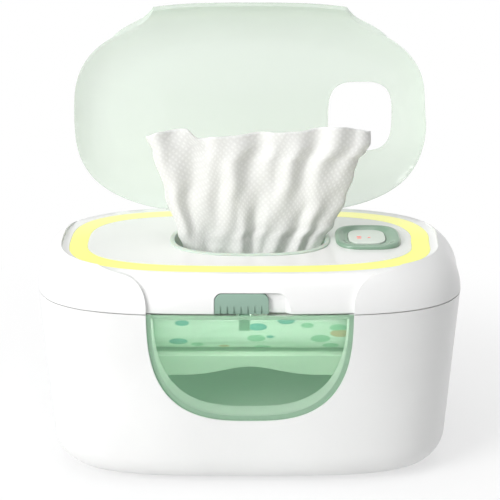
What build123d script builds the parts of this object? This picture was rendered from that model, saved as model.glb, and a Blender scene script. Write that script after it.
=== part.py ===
"""Baby wipe warmer: a moulded warming box with a sprung lifter tray inside, a hinged top
cover with a glowing ring and a control button, and a clear flip lid.

Frame: the pieces are drawn about the middle of the body and saved about the middle of
the whole box, on the table.  The front faces -Y, the hinges are at the back, +X is to
the right and +Z is up.  All sizes are in millimetres.
The flip lid stands open and every other joint is at its stop.
"""
from build123d import *
from math import asin, copysign, cos, pi, radians, sin
import os

os.makedirs("parts", exist_ok=True)

# The hinge and the open lid stand out behind the body, so the middle of the whole box is
# this far behind the middle of the body.
box_middle_y = 6.58


def save(solid, name):
    """Writes a piece under its name, moved so that the box's middle is over the origin."""
    piece = solid.translate((0, -box_middle_y, 0))
    piece.label = name
    export_step(piece, f"parts/{name}.step")


# ---- Overall form -------------------------------------------------------------------
body_half_x = 120.0        # half width at the parting line
body_half_y = 73.0         # half depth at the parting line
base_half_x = 113.0        # half width at the foot of the draft
base_half_y = 66.5
body_power = 3.5           # superellipse power of the plan at the parting line
foot_height = 1.5          # how far the rubber feet lift the box
parting_z = 107.0          # where the cover meets the box
parting_gap = 0.5          # visible line between them
bottom_fillet = 20.0
outline_points = 24        # points on each closed plan curve

# The cover's crown is a quarter ellipse from the parting line up to the flat lid top.
crown_rise = 28.0
crown_run = 35.0
crown_power = 2.6          # the plan grows rounder towards the top
crown_sections = 6

# ---- Seat, lid and front recess -----------------------------------------------------
seat_z = 126.2             # the flat deck that the lid closes over
seat_half_x = 107.6
seat_half_y = 61.0
seat_power = 2.85
seat_rear_relief = 14.0    # the seat opens out at the back, where the lid's edge swings
lid_wall = 1.9
lid_gap = 0.3              # room between the lid and what it closes on
recess_depth = lid_wall + lid_gap
tongue_half_x = 55.9       # half width of the recess at the parting line
tongue_tip_z = 119.0       # where the lid's front tongue ends
lid_open_angle = 95.5
lid_hinge_y = 61.5
lid_hinge_z = seat_z - 6.2
lid_knuckle_radius = 3.0
lid_pin_radius = 1.2
lid_arm_x = 46.1           # middle of each hinge arm
lid_arm_width = 10.2
lid_stop_heel = 3.3        # flat on the arm's back that lies down on the channel floor
button_hole_x = 67.5       # hole in the lid over the control button
button_hole_y = 0.8
button_hole_half_x = 19.5
button_hole_half_y = 21.3

# ---- Walls and general clearances ---------------------------------------------------
cover_wall = 2.2           # behind the recess; twice that in the shoulder skin
body_wall = 3.2
tub_wall = 1.8
slip = 0.15                # round a piece that drops into a pocket
free = 0.3                 # between bodies that move past each other
pin_clearance = 0.05       # radial, a pin in its bore

# ---- Deck: glowing ring, plate, collar and control ----------------------------------
ring_half_x = 103.0
ring_half_y = 56.4
ring_width = 10.0
ring_power = 3.1
ring_height = 4.0
ring_lip = 2.5             # inner lip that carries the deck plate
ring_ledge = 3.5           # ledge of the cover under the ring
ledge_thickness = 2.5
deck_thickness = 2.2
collar_half_x = 46.0
collar_half_y = 29.8
collar_power = 2.5
collar_rim = 2.6
collar_rise = 0.8
collar_throat = 5.0        # how far the funnel narrows towards its foot
bezel_x = 67.9
bezel_y = 1.4
bezel_half_x = 18.8
bezel_half_y = 20.1
bezel_power = 3.2
bezel_rise = 2.2
button_half_x = 10.7
button_half_y = 12.4
button_y = 2.8
button_travel = 1.0
button_rise = 1.0
board_thickness = 1.4
board_z = 116.0
led_board_half_x = 92.0    # middle line of the ring-shaped board
led_board_half_y = 45.6
led_board_width = 8.4
led_size = 3.0
led_height = 1.0

# ---- Liner and seal -----------------------------------------------------------------
liner_thickness = 1.8
liner_z = parting_z + 1.6
seal_width = 3.5
seal_half_x = 109.0
seal_half_y = 62.0
liner_screw_x = 100.0
liner_screw_y = 18.0
screw_shank = 1.3
screw_head = 2.6
screw_head_height = 1.6
boss_radius = 3.6

# ---- Latch slider -------------------------------------------------------------------
slot_height = 11.0
slot_corner = 4.0
slider_width = 29.2
slider_travel = 9.0
slot_half_x = (slider_width + slider_travel) / 2 + free
slider_thickness = 2.2
track_depth = 2.6
groove_pitch = 3.7
groove_count = 7
groove_width = 0.9
groove_depth = 0.6
stem_width = 6.0
stem_left_x = -6.0         # left side of the stem and hook with the latch open
hook_drop = 10.5           # below the parting line
hook_toe = 2.2
hook_plate = 1.5

# ---- Window -------------------------------------------------------------------------
window_half_x = 56.0
window_drop = 63.5         # below the parting line
window_power = 2.85
window_thickness = 1.6
window_ledge = 2.5         # white ledge behind the window's edge

# ---- Tub, tray, pack and springs ----------------------------------------------------
tub_half_x = 99.0          # inside
tub_half_y = 54.5
tub_corner = 24.0
tub_floor_z = 42.0         # top of the floor
flange_thickness = 2.0
flange_top_z = parting_z - 1.5
tray_top_z = 76.0
tray_thickness = 2.0
tray_wall = 1.8
tray_skirt = 11.4
tray_arch = 5.0            # how far the skirt's arch rises in the middle
tray_travel = 22.0
tray_clearance = 0.7
stop_bump = 2.2
pack_half_x = 92.0
pack_half_y = 52.7
pack_height = 26.5
pack_corner = 14.0
pack_fillet = 6.0
spring_width = 12.0
spring_thickness = 0.8
spring_half_span = 70.0
spring_y = 20.0

# ---- Heating and electrics under the tub --------------------------------------------
plate_half_x = 66.0
plate_half_y = 42.0
plate_thickness = 1.3
film_thickness = 0.7
base_opening_half_x = 84.0
base_opening_half_y = 38.0
base_opening_corner = 14.0
base_ledge = 3.0
base_plate_thickness = 2.0
base_screw_x = 74.0
base_screw_y = 22.0
foot_x = 60.0
foot_y = 28.0
foot_radius = 7.0
power_board_x = -36.0
power_board_y = 37.0
power_board_half_x = 28.0
power_board_half_y = 20.0
power_board_z = 22.0
inlet_z = 30.0
inlet_half = 6.0
inlet_barrel_radius = 4.0
inlet_bore_radius = 2.75

# ---- Main hinge at the back ---------------------------------------------------------
hinge_radius = 4.3
hinge_y = body_half_y + hinge_radius + free
hinge_z = parting_z
hinge_pin_radius = 1.6
hinge_knuckle_half = 22.5  # half length of the cover's knuckle
hinge_lug_length = 13.0


# ---- Shared curves and forms --------------------------------------------------------
def superellipse_points(half_x, half_y, power, middle=(0, 0)):
    """Points round a superellipse, evenly spaced by its angle."""
    points = []
    for step in range(outline_points):
        angle = 2 * pi * step / outline_points
        x = half_x * copysign(abs(cos(angle)) ** (2 / power), cos(angle))
        y = half_y * copysign(abs(sin(angle)) ** (2 / power), sin(angle))
        points.append((middle[0] + x, middle[1] + y))
    return points


def superellipse(half_x, half_y, power, mode=Mode.ADD, middle=(0, 0)):
    """Adds a closed superellipse face to the sketch that is being drawn."""
    with BuildLine() as outline:
        Spline(*superellipse_points(half_x, half_y, power, middle), periodic=True)
    make_face(outline.edges(), mode=mode)


def crown(inset):
    """The smooth form of the closed top, moved in by inset: parting line to lid top."""
    with BuildPart() as form:
        for step in range(crown_sections + 1):
            angle = radians(90) * step / crown_sections
            reach = (crown_run - inset) * cos(angle)
            height = (crown_rise - inset) * sin(angle)
            power = body_power + (crown_power - body_power) * sin(angle)
            with BuildSketch(Plane.XY.offset(parting_z + height)):
                superellipse(
                    body_half_x - crown_run + reach,
                    body_half_y - crown_run + reach,
                    power,
                )
        loft()
    return form.part


def crown_depth(inset, z):
    """How far forward the moved-in crown reaches, on the middle plane at height z."""
    angle = asin((z - parting_z) / (crown_rise - inset))
    return body_half_y - crown_run + (crown_run - inset) * cos(angle)


def body_form(inset, bottom_z, fillet_radius):
    """The tapered box form, moved in by inset, with a rounded bottom edge."""
    share = (bottom_z - foot_height) / (parting_z - foot_height)
    bottom_x = base_half_x + (body_half_x - base_half_x) * share - inset
    bottom_y = base_half_y + (body_half_y - base_half_y) * share - inset
    with BuildPart() as form:
        with BuildSketch(Plane.XY.offset(bottom_z)):
            superellipse(bottom_x, bottom_y, body_power)
        with BuildSketch(Plane.XY.offset(parting_z)):
            superellipse(body_half_x - inset, body_half_y - inset, body_power)
        loft(ruled=True)
        fillet(form.faces().sort_by(Axis.Z)[0].edges(), radius=fillet_radius)
    return form.part


def tongue_outline(gap, bottom_z):
    """Draws the front recess, or with a gap the lid's tongue, as seen from the front."""
    flank = [
        (tongue_half_x - gap, parting_z - 2 * crown_rise),
        (tongue_half_x - gap, seat_z - 16.0),
        (tongue_half_x + 0.4 - gap, seat_z - 12.0),
        (tongue_half_x + 2.4 - gap, seat_z - 6.7 + gap / 2),
        (tongue_half_x + 7.1 - gap, seat_z - 2.4 + gap),
        (tongue_half_x + 13.5 - gap, seat_z - 0.7 + gap),
        (tongue_half_x + 24.0, seat_z + 0.9 + gap),
        (tongue_half_x + 32.0, seat_z + 3.0 + gap),
    ]
    top = seat_z + crown_rise
    with BuildLine() as outline:
        right = Spline(*flank[1:], tangents=[(0, 1), (1, 0.25)])
        Line(flank[0], flank[1])
        Line(right @ 1, (flank[-1][0], top))
        Line((flank[-1][0], top), (-flank[-1][0], top))
        left = Spline(*[(-x, z) for x, z in flank[1:]], tangents=[(0, 1), (-1, 0.25)])
        Line(left @ 1, (-flank[-1][0], top))
        Line((-flank[0][0], flank[0][1]), left @ 0)
        Line((-flank[0][0], flank[0][1]), flank[0])
    make_face(outline.edges())
    with Locations((0, bottom_z - crown_rise * 2)):
        Rectangle(4 * body_half_x, crown_rise * 4, mode=Mode.SUBTRACT)


def window_outline(inset, top_z):
    """Draws the D of the window as seen from the front: the lower half of a superellipse."""
    points = superellipse_points(
        window_half_x - inset, window_drop - inset, window_power
    )
    with BuildLine() as outline:
        Spline(*[(x, parting_z + z) for x, z in points], periodic=True)
    make_face(outline.edges())
    with Locations((0, top_z + window_drop / 2)):
        Rectangle(3 * window_half_x, window_drop, mode=Mode.SUBTRACT)


def hinge_lug_outline(side):
    """Draws the side view of a main hinge lug: side is 1 on the cover, -1 on the box."""
    near_z = hinge_z + side * parting_gap / 2
    with Locations((hinge_y, hinge_z)):
        Circle(hinge_radius)
    with BuildLine() as outline:
        Polyline(
            (body_half_y - 2.0, near_z),
            (hinge_y, near_z),
            (hinge_y + hinge_radius - 0.4, hinge_z + side * 1.8),
            (body_half_y - 1.0, hinge_z + side * 10.0),
            (body_half_y - 3.0, hinge_z + side * 10.0),
            close=True,
        )
    make_face(outline.edges())


outer_crown = crown(0)
recess_crown = crown(recess_depth)
inner_crown = crown(2 * cover_wall)
lid_inner_crown = crown(lid_wall)
track_floor_crown = crown(recess_depth + track_depth)
track_back_crown = crown(recess_depth + track_depth + cover_wall)
slider_face_crown = crown(recess_depth + 0.1)
slider_back_crown = crown(recess_depth + 0.1 + slider_thickness)

body_top_z = parting_z - parting_gap / 2
cover_bottom_z = parting_z + parting_gap / 2
front_plane = Plane.XZ.offset(30)           # cutters for the front start here
front_reach = body_half_y - 20.0


# ---- Lower body ---------------------------------------------------------------------
outer_body = body_form(0, foot_height, bottom_fillet)
body_floor_z = foot_height + base_plate_thickness + 1.5
hollow_body = body_form(body_wall, body_floor_z, bottom_fillet - body_wall)
window_back_body = body_form(window_thickness + 0.1, foot_height, bottom_fillet - 2.0)
flange_bottom_z = flange_top_z - flange_thickness
inner_body_half_x = body_half_x - body_wall
inner_body_half_y = body_half_y - body_wall
hinge_lug_x = hinge_knuckle_half + free + hinge_lug_length / 2
hinge_pin_half = hinge_lug_x + hinge_lug_length / 2

# The slab of wall that the window takes out of the front.
with BuildPart() as window_pocket:
    with BuildSketch(front_plane):
        window_outline(0, parting_z)
    extrude(amount=front_reach)
    add(window_back_body, mode=Mode.SUBTRACT)

with BuildPart() as lower_body:
    add(outer_body)
    add(hollow_body, mode=Mode.SUBTRACT)
    # Ledge inside the rim that carries the tub's flange.
    with BuildSketch(Plane.XY.offset(flange_bottom_z - 2.0)):
        superellipse(inner_body_half_x + 1.0, inner_body_half_y + 1.0, body_power)
        superellipse(
            inner_body_half_x - 2.0, inner_body_half_y - 2.0, body_power, Mode.SUBTRACT
        )
        with Locations((0, -body_half_y)):
            Rectangle(2 * window_half_x, body_wall * 4, mode=Mode.SUBTRACT)
    extrude(amount=2.0)
    # Pair of lugs for the main hinge, on feet that blend into the back wall.
    for middle_x in (-hinge_lug_x, hinge_lug_x):
        with BuildSketch(Plane.YZ.offset(middle_x - hinge_lug_length / 2)):
            hinge_lug_outline(-1)
        extrude(amount=hinge_lug_length)
    # Cut the rim down to the parting gap, inside the hinge lugs.
    with BuildSketch(Plane.XY.offset(body_top_z)):
        superellipse(body_half_x + 1.0, body_half_y + 0.2, body_power)
    extrude(amount=hinge_radius * 2, mode=Mode.SUBTRACT)
    with BuildSketch(Plane.YZ.offset(-hinge_pin_half)):
        with Locations((hinge_y, hinge_z)):
            Circle(hinge_pin_radius + pin_clearance)
    extrude(amount=2 * hinge_pin_half, mode=Mode.SUBTRACT)
    # Window: a shallow pocket for the panel and a smaller opening behind it.
    add(window_pocket.part, mode=Mode.SUBTRACT)
    with BuildSketch(front_plane):
        window_outline(window_ledge, parting_z)
    extrude(amount=front_reach, mode=Mode.SUBTRACT)
    # Bottom opening with a rabbet for the base cover.
    with BuildSketch(Plane.XY):
        RectangleRounded(
            2 * base_opening_half_x, 2 * base_opening_half_y, base_opening_corner
        )
    extrude(amount=foot_height + base_plate_thickness, mode=Mode.SUBTRACT)
    with BuildSketch(Plane.XY):
        RectangleRounded(
            2 * (base_opening_half_x - base_ledge),
            2 * (base_opening_half_y - base_ledge),
            base_opening_corner - base_ledge,
        )
    extrude(amount=body_floor_z + 1.0, mode=Mode.SUBTRACT)
    # Round hole for the power inlet's barrel.
    with BuildSketch(Plane.XZ.offset(-body_half_y - 5.0)):
        with Locations((power_board_x, inlet_z)):
            Circle(inlet_barrel_radius + slip)
    extrude(amount=20.0, mode=Mode.SUBTRACT)
save(lower_body.part, "lower_body")


# ---- Window panel -------------------------------------------------------------------
with BuildPart() as window_panel:
    with BuildSketch(front_plane):
        window_outline(slip, body_top_z)
    extrude(amount=front_reach)
    add(body_form(window_thickness, foot_height, bottom_fillet - 2.0), mode=Mode.SUBTRACT)
    add(outer_body, mode=Mode.INTERSECT)
save(window_panel.part, "window_panel")


# ---- Inner tub ----------------------------------------------------------------------
sleeve_wall = 1.3
tub_bottom_z = tub_floor_z - tub_wall
base_plate_top_z = foot_height + base_plate_thickness
hook_front_y = -crown_depth(recess_depth + track_depth + cover_wall + free, parting_z)
hook_back_y = hook_front_y + hook_plate

# Sleeve that joins the tub to the back of the window, trimmed to the box's inside.
with BuildPart() as window_sleeve:
    with BuildSketch(Plane.XZ.offset(tub_half_y)):
        window_outline(window_ledge - sleeve_wall, flange_top_z)
    extrude(amount=body_half_y - tub_half_y)
    add(
        body_form(body_wall + free, foot_height, bottom_fillet - body_wall),
        mode=Mode.INTERSECT,
    )

with BuildPart() as inner_tub:
    with BuildSketch(Plane.XY.offset(tub_bottom_z)):
        RectangleRounded(
            2 * (tub_half_x + tub_wall), 2 * (tub_half_y + tub_wall), tub_corner + tub_wall
        )
    extrude(amount=flange_top_z - tub_bottom_z)
    with BuildSketch(Plane.XY.offset(flange_bottom_z)):
        superellipse(inner_body_half_x - 0.6, inner_body_half_y - 0.6, body_power)
    extrude(amount=flange_thickness)
    add(window_sleeve.part)
    # Posts down to the base cover, for its screws.
    with BuildSketch(Plane.XY.offset(base_plate_top_z)):
        with GridLocations(2 * base_screw_x, 2 * base_screw_y, 2, 2):
            Circle(boss_radius)
    extrude(amount=tub_bottom_z - base_plate_top_z)
    with BuildSketch(Plane.XY.offset(base_plate_top_z)):
        with GridLocations(2 * base_screw_x, 2 * base_screw_y, 2, 2):
            Circle(screw_shank + slip / 2)
    extrude(amount=14.0, mode=Mode.SUBTRACT)
    # Inside of the tub.
    with BuildSketch(Plane.XY.offset(tub_floor_z)):
        RectangleRounded(2 * tub_half_x, 2 * tub_half_y, tub_corner)
    extrude(amount=flange_top_z - tub_floor_z, mode=Mode.SUBTRACT)
    with BuildSketch(Plane.XZ.offset(tub_half_y - 1.0)):
        window_outline(window_ledge, flange_bottom_z)
    extrude(amount=body_half_y - tub_half_y, mode=Mode.SUBTRACT)
    # Bumps that stop the tray at the top of its travel.
    with Locations(
        (-tub_half_x + stop_bump / 2 - 0.5, 0, tray_top_z + free + stop_bump / 2),
        (tub_half_x - stop_bump / 2 + 0.5, 0, tray_top_z + free + stop_bump / 2),
    ):
        Box(stop_bump + 1.0, 16.0, stop_bump)
    # Keyhole in the flange: the latch hook drops in at the left and slides to the right.
    with BuildSketch(Plane.XY.offset(flange_bottom_z)):
        with Locations((stem_left_x - 0.6, hook_back_y + 0.6)):
            Rectangle(
                stem_width + 1.2,
                hook_plate + hook_toe + 1.3,
                align=(Align.MIN, Align.MAX),
            )
            Rectangle(
                stem_width + slider_travel + 1.2,
                hook_plate + 1.1,
                align=(Align.MIN, Align.MAX),
            )
    extrude(amount=flange_thickness, mode=Mode.SUBTRACT)
save(inner_tub.part, "inner_tub")


# ---- Lifter tray --------------------------------------------------------------------
tray_half_x = tub_half_x - tray_clearance
tray_half_y = tub_half_y - tray_clearance
tray_corner = tub_corner - tray_clearance
tray_bottom_z = tray_top_z - tray_skirt
tray_arch_half = 37.0

with BuildPart() as lifter_tray:
    with BuildSketch(Plane.XY.offset(tray_bottom_z)):
        RectangleRounded(2 * tray_half_x, 2 * tray_half_y, tray_corner)
    extrude(amount=tray_skirt)
    with BuildSketch(Plane.XY.offset(tray_bottom_z)):
        RectangleRounded(
            2 * (tray_half_x - tray_wall),
            2 * (tray_half_y - tray_wall),
            tray_corner - tray_wall,
        )
    extrude(amount=tray_skirt - tray_thickness, mode=Mode.SUBTRACT)
    # Shallow arch in the front and back of the skirt.
    with BuildSketch(Plane.XZ.offset(-tub_half_y)):
        with BuildLine() as arch:
            Spline(
                (-tray_arch_half, tray_bottom_z),
                (0, tray_bottom_z + tray_arch),
                (tray_arch_half, tray_bottom_z),
                tangents=[(1, 0), (1, 0)],
            )
            Polyline(
                (tray_arch_half, tray_bottom_z),
                (tray_arch_half, tray_bottom_z - 1.0),
                (-tray_arch_half, tray_bottom_z - 1.0),
                (-tray_arch_half, tray_bottom_z),
            )
        make_face(arch.edges())
    extrude(amount=2 * tub_half_y, mode=Mode.SUBTRACT)
    # Warm air slots.
    with BuildSketch(Plane.XY.offset(tray_top_z - tray_thickness)):
        with GridLocations(50.0, 44.0, 3, 2):
            SlotOverall(36.0, 5.0)
    extrude(amount=tray_thickness, mode=Mode.SUBTRACT)
save(lifter_tray.part, "lifter_tray")


# ---- Pack of wipes ------------------------------------------------------------------
with BuildPart() as wipe_pack:
    with BuildSketch(Plane.XY.offset(tray_top_z + slip)):
        RectangleRounded(2 * pack_half_x, 2 * pack_half_y, pack_corner)
    extrude(amount=pack_height)
    fillet(wipe_pack.faces().sort_by(Axis.Z)[-1].edges(), radius=pack_fillet)
    fillet(wipe_pack.faces().sort_by(Axis.Z)[0].edges(), radius=pack_fillet / 3)
save(wipe_pack.part, "wipe_pack")


# ---- Bow springs under the tray -----------------------------------------------------
spring_foot_z = tub_floor_z + slip
spring_top_z = tray_top_z - tray_thickness - slip


def bow_spring(middle_y):
    """A bowed strip of spring steel: its feet on the tub floor, its middle under the tray."""
    with BuildPart() as strip:
        with BuildSketch(Plane.XZ.offset(-middle_y - spring_width / 2)):
            with BuildLine() as bow:
                ThreePointArc(
                    (-spring_half_span, spring_foot_z),
                    (0, spring_top_z - spring_thickness),
                    (spring_half_span, spring_foot_z),
                )
                Line(
                    (spring_half_span, spring_foot_z),
                    (spring_half_span + spring_thickness, spring_foot_z),
                )
                ThreePointArc(
                    (spring_half_span + spring_thickness, spring_foot_z),
                    (0, spring_top_z),
                    (-spring_half_span - spring_thickness, spring_foot_z),
                )
                Line(
                    (-spring_half_span - spring_thickness, spring_foot_z),
                    (-spring_half_span, spring_foot_z),
                )
            make_face(bow.edges())
        extrude(amount=spring_width)
    return strip.part


for name, middle_y in (("lifter_spring_front", -spring_y), ("lifter_spring_rear", spring_y)):
    spring = bow_spring(middle_y)
    save(spring, name)


# ---- Heating plate, heater film and their sensors -----------------------------------
with BuildPart() as heating_plate:
    with BuildSketch(Plane.XY.offset(tub_bottom_z - plate_thickness)):
        RectangleRounded(2 * plate_half_x, 2 * plate_half_y, 8.0)
    extrude(amount=plate_thickness)
save(heating_plate.part, "heating_plate")

film_bottom_z = tub_bottom_z - plate_thickness - film_thickness

with BuildPart() as heater_film:
    with BuildSketch(Plane.XY.offset(film_bottom_z)):
        RectangleRounded(2 * (plate_half_x - 5.0), 2 * (plate_half_y - 5.0), 6.0)
        with Locations((power_board_x, plate_half_y - 2.0)):
            Rectangle(14.0, 10.0)
    extrude(amount=film_thickness)
save(heater_film.part, "heater_film")

with BuildPart() as thermal_cutoff:
    with BuildSketch(Plane.YZ.offset(22.0)):
        with Locations((-8.0, film_bottom_z - 2.2)):
            Circle(2.2)
    extrude(amount=11.0)
    with BuildSketch(Plane.YZ.offset(12.0)):
        with Locations((-8.0, film_bottom_z - 2.2)):
            Circle(0.5)
    extrude(amount=31.0)
save(thermal_cutoff.part, "thermal_cutoff")

with BuildPart() as temperature_sensor:
    with Locations((-16.0, 12.0, film_bottom_z)):
        Box(9.0, 6.0, 2.4, align=(Align.CENTER, Align.CENTER, Align.MAX))
    with Locations((-16.0, 12.0, film_bottom_z - 2.4)):
        Cylinder(2.0, 1.0, align=(Align.CENTER, Align.CENTER, Align.MAX))
save(temperature_sensor.part, "temperature_sensor")


# ---- Power board and inlet ----------------------------------------------------------
power_board_top_z = power_board_z + board_thickness
inlet_back_y = power_board_y + power_board_half_y - 1.0

with BuildPart() as power_board:
    with Locations((power_board_x, power_board_y, power_board_z)):
        Box(
            2 * power_board_half_x,
            2 * power_board_half_y,
            board_thickness,
            align=(Align.CENTER, Align.CENTER, Align.MIN),
        )
    with Locations((power_board_x - 18.0, power_board_y - 8.0, power_board_top_z)):
        Box(12.0, 14.0, 9.0, align=(Align.CENTER, Align.CENTER, Align.MIN))
    with Locations((power_board_x + 16.0, power_board_y - 6.0, power_board_top_z)):
        Cylinder(4.0, 10.0, align=(Align.CENTER, Align.CENTER, Align.MIN))
    with Locations((power_board_x + 2.0, power_board_y - 12.0, power_board_top_z)):
        Box(10.0, 6.0, 5.0, align=(Align.CENTER, Align.CENTER, Align.MIN))
save(power_board.part, "power_board")

with BuildPart() as dc_inlet:
    with Locations((power_board_x, inlet_back_y, power_board_top_z)):
        Box(
            2 * inlet_half,
            13.0,
            inlet_z + inlet_half - power_board_top_z - 0.4,
            align=(Align.CENTER, Align.MAX, Align.MIN),
        )
    with BuildSketch(Plane.XZ.offset(-inlet_back_y + 1.0)):
        with Locations((power_board_x, inlet_z)):
            Circle(inlet_barrel_radius)
    extrude(amount=-(base_half_y + 2.2 - inlet_back_y))
    with BuildSketch(Plane.XZ.offset(-inlet_back_y + 10.0)):
        with Locations((power_board_x, inlet_z)):
            Circle(inlet_bore_radius)
    extrude(amount=-30.0, mode=Mode.SUBTRACT)
    with BuildSketch(Plane.XZ.offset(-base_half_y + 0.5)):
        with Locations((power_board_x, inlet_z)):
            Circle(inlet_bore_radius)
    extrude(amount=-10.0, mode=Mode.SUBTRACT)
save(dc_inlet.part, "dc_inlet")


# ---- Base cover, feet and base screws -----------------------------------------------
board_post_x = power_board_half_x - 5.0
board_post_front_y = power_board_y - power_board_half_y + 5.0
board_post_back_y = base_opening_half_y - base_ledge - 3.5

with BuildPart() as base_cover:
    with BuildSketch(Plane.XY.offset(foot_height)):
        RectangleRounded(
            2 * (base_opening_half_x - slip),
            2 * (base_opening_half_y - slip),
            base_opening_corner - slip,
        )
        with GridLocations(2 * base_screw_x, 2 * base_screw_y, 2, 2):
            Circle(screw_shank + 0.3, mode=Mode.SUBTRACT)
        with GridLocations(2 * foot_x, 2 * foot_y, 2, 2):
            Circle(foot_radius / 2, mode=Mode.SUBTRACT)
        with GridLocations(0, 7.0, 1, 5):
            SlotOverall(46.0, 3.0, mode=Mode.SUBTRACT)
    extrude(amount=base_plate_thickness)
    with BuildSketch(Plane.XY.offset(foot_height)):
        with GridLocations(2 * base_screw_x, 2 * base_screw_y, 2, 2):
            Circle(screw_head + slip)
    extrude(amount=base_plate_thickness / 2, mode=Mode.SUBTRACT)
    # Posts under the power board.
    with BuildSketch(Plane.XY.offset(base_plate_top_z)):
        with Locations(
            (power_board_x - board_post_x, board_post_front_y),
            (power_board_x + board_post_x, board_post_front_y),
            (power_board_x - board_post_x, board_post_back_y),
            (power_board_x + board_post_x, board_post_back_y),
        ):
            Circle(2.5)
    extrude(amount=power_board_z - base_plate_top_z)
save(base_cover.part, "base_cover")

foot_places = [(-foot_x, -foot_y), (foot_x, -foot_y), (-foot_x, foot_y), (foot_x, foot_y)]
for number, (x, y) in enumerate(foot_places, start=1):
    with BuildPart() as rubber_foot:
        with Locations((x, y, 0)):
            Cylinder(
                foot_radius, foot_height, align=(Align.CENTER, Align.CENTER, Align.MIN)
            )
        fillet(rubber_foot.faces().sort_by(Axis.Z)[0].edges(), radius=0.6)
        with Locations((x, y, 0)):
            Cylinder(
                foot_radius / 2 - 0.1,
                base_plate_top_z,
                align=(Align.CENTER, Align.CENTER, Align.MIN),
            )
    save(rubber_foot.part, f"rubber_foot_{number}")

with BuildPart() as base_screws:
    with BuildSketch(Plane.XY.offset(foot_height + 0.2)):
        with GridLocations(2 * base_screw_x, 2 * base_screw_y, 2, 2):
            Circle(screw_head)
    extrude(amount=base_plate_thickness / 2 - 0.2)
    with BuildSketch(Plane.XY.offset(foot_height + base_plate_thickness / 2)):
        with GridLocations(2 * base_screw_x, 2 * base_screw_y, 2, 2):
            Circle(screw_shank)
    extrude(amount=11.0)
save(base_screws.part, "base_screws")


# ---- Main hinge pin -----------------------------------------------------------------
with BuildPart() as cover_hinge_pin:
    with BuildSketch(Plane.YZ.offset(-hinge_pin_half)):
        with Locations((hinge_y, hinge_z)):
            Circle(hinge_pin_radius)
    extrude(amount=2 * hinge_pin_half)
save(cover_hinge_pin.part, "cover_hinge_pin")


# ---- Top cover ----------------------------------------------------------------------
ledge_bottom_z = seat_z - ring_height - ledge_thickness
lid_channel_half = lid_arm_x + lid_arm_width / 2 + free
lid_channel_y = lid_hinge_y - lid_knuckle_radius - free
lid_channel_floor_z = lid_hinge_z - lid_stop_heel - free
lid_middle_floor_z = lid_hinge_z - 0.7
cheek_thickness = 3.2
cheek_outer_x = lid_arm_x - lid_arm_width / 2 - free
cheek_radius = 2.9
hinge_block_half = lid_channel_half + 5.0
hinge_block_drop = 2.7
lid_pin_length = lid_channel_half + 4.5 - cheek_outer_x + cheek_thickness
slot_backing_half = slot_half_x + 9.0
slot_ramp = 4.0

# Hollow under the deck: the crown moved in, less the frame that carries the ring.
with BuildPart() as cover_cavity:
    add(inner_crown)
    with BuildSketch(Plane.XY.offset(seat_z - cover_wall)):
        Rectangle(4 * body_half_x, 4 * body_half_y)
    extrude(amount=crown_rise, mode=Mode.SUBTRACT)
    with BuildSketch(Plane.XY.offset(ledge_bottom_z)):
        superellipse(ring_half_x + cover_wall, ring_half_y + cover_wall, ring_power)
    extrude(amount=crown_rise, mode=Mode.SUBTRACT)

# What the shallow recess for the lid's tongue takes off the front.
with BuildPart() as recess_cutter:
    with BuildSketch(front_plane):
        tongue_outline(0, parting_z)
    extrude(amount=front_reach)
    add(recess_crown, mode=Mode.SUBTRACT)

# Thicker wall behind the latch, and the curved track that the latch slides in.
with BuildPart() as track_backing:
    with BuildSketch(front_plane):
        with Locations((0, cover_bottom_z)):
            Rectangle(
                2 * slot_backing_half, slot_height + 3.0, align=(Align.CENTER, Align.MIN)
            )
    extrude(amount=front_reach)
    add(recess_crown, mode=Mode.INTERSECT)
    add(track_back_crown, mode=Mode.SUBTRACT)

with BuildPart() as track_pocket:
    with BuildSketch(front_plane):
        with Locations((0, parting_z + slot_height / 2 - slot_corner)):
            RectangleRounded(
                2 * slot_half_x, slot_height + 2 * slot_corner, slot_corner
            )
    extrude(amount=front_reach)
    # Ramp at the right end of the track.
    with BuildSketch(Plane.XY.offset(parting_z - slot_corner)):
        with BuildLine() as ramp:
            Polyline(
                (slot_half_x - 0.5, -body_half_y + recess_depth + track_depth),
                (slot_half_x + slot_ramp, -body_half_y + recess_depth - 1.0),
                (slot_half_x + slot_ramp, -body_half_y),
                (slot_half_x - 0.5, -body_half_y),
                close=True,
            )
        make_face(ramp.edges())
    extrude(amount=slot_corner + slot_height - 2.0)
    add(track_floor_crown, mode=Mode.SUBTRACT)

# Room for the lid hinge at the back: deep at the arms, shallow between them.
with BuildPart() as lid_channel:
    with BuildSketch(Plane.XY.offset(lid_middle_floor_z)):
        with Locations((0, lid_channel_y)):
            Rectangle(2 * lid_channel_half, body_half_y, align=(Align.CENTER, Align.MIN))
    extrude(amount=crown_rise)
    with BuildSketch(Plane.XY.offset(lid_channel_floor_z)):
        with Locations((-lid_arm_x, lid_channel_y), (lid_arm_x, lid_channel_y)):
            Rectangle(
                lid_arm_width + 2 * free, body_half_y, align=(Align.CENTER, Align.MIN)
            )
    extrude(amount=crown_rise)

# Block that the lid hinge is sunk into, trimmed to the crown, and a cheek beside each arm.
with BuildPart() as hinge_block:
    with BuildSketch(Plane.XY.offset(lid_channel_floor_z - hinge_block_drop)):
        with Locations((0, lid_channel_y - 1.3)):
            Rectangle(2 * hinge_block_half, 14.0, align=(Align.CENTER, Align.MIN))
    extrude(amount=seat_z - ring_height - lid_channel_floor_z + hinge_block_drop)
    add(outer_crown, mode=Mode.INTERSECT)

with BuildPart() as lid_cheeks:
    for left_x in (-cheek_outer_x, cheek_outer_x - cheek_thickness):
        with BuildSketch(Plane.YZ.offset(left_x)):
            with Locations((lid_hinge_y, lid_hinge_z)):
                Circle(cheek_radius)
                Rectangle(2 * cheek_radius, 3.0, align=(Align.CENTER, Align.MAX))
        extrude(amount=cheek_thickness)

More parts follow.
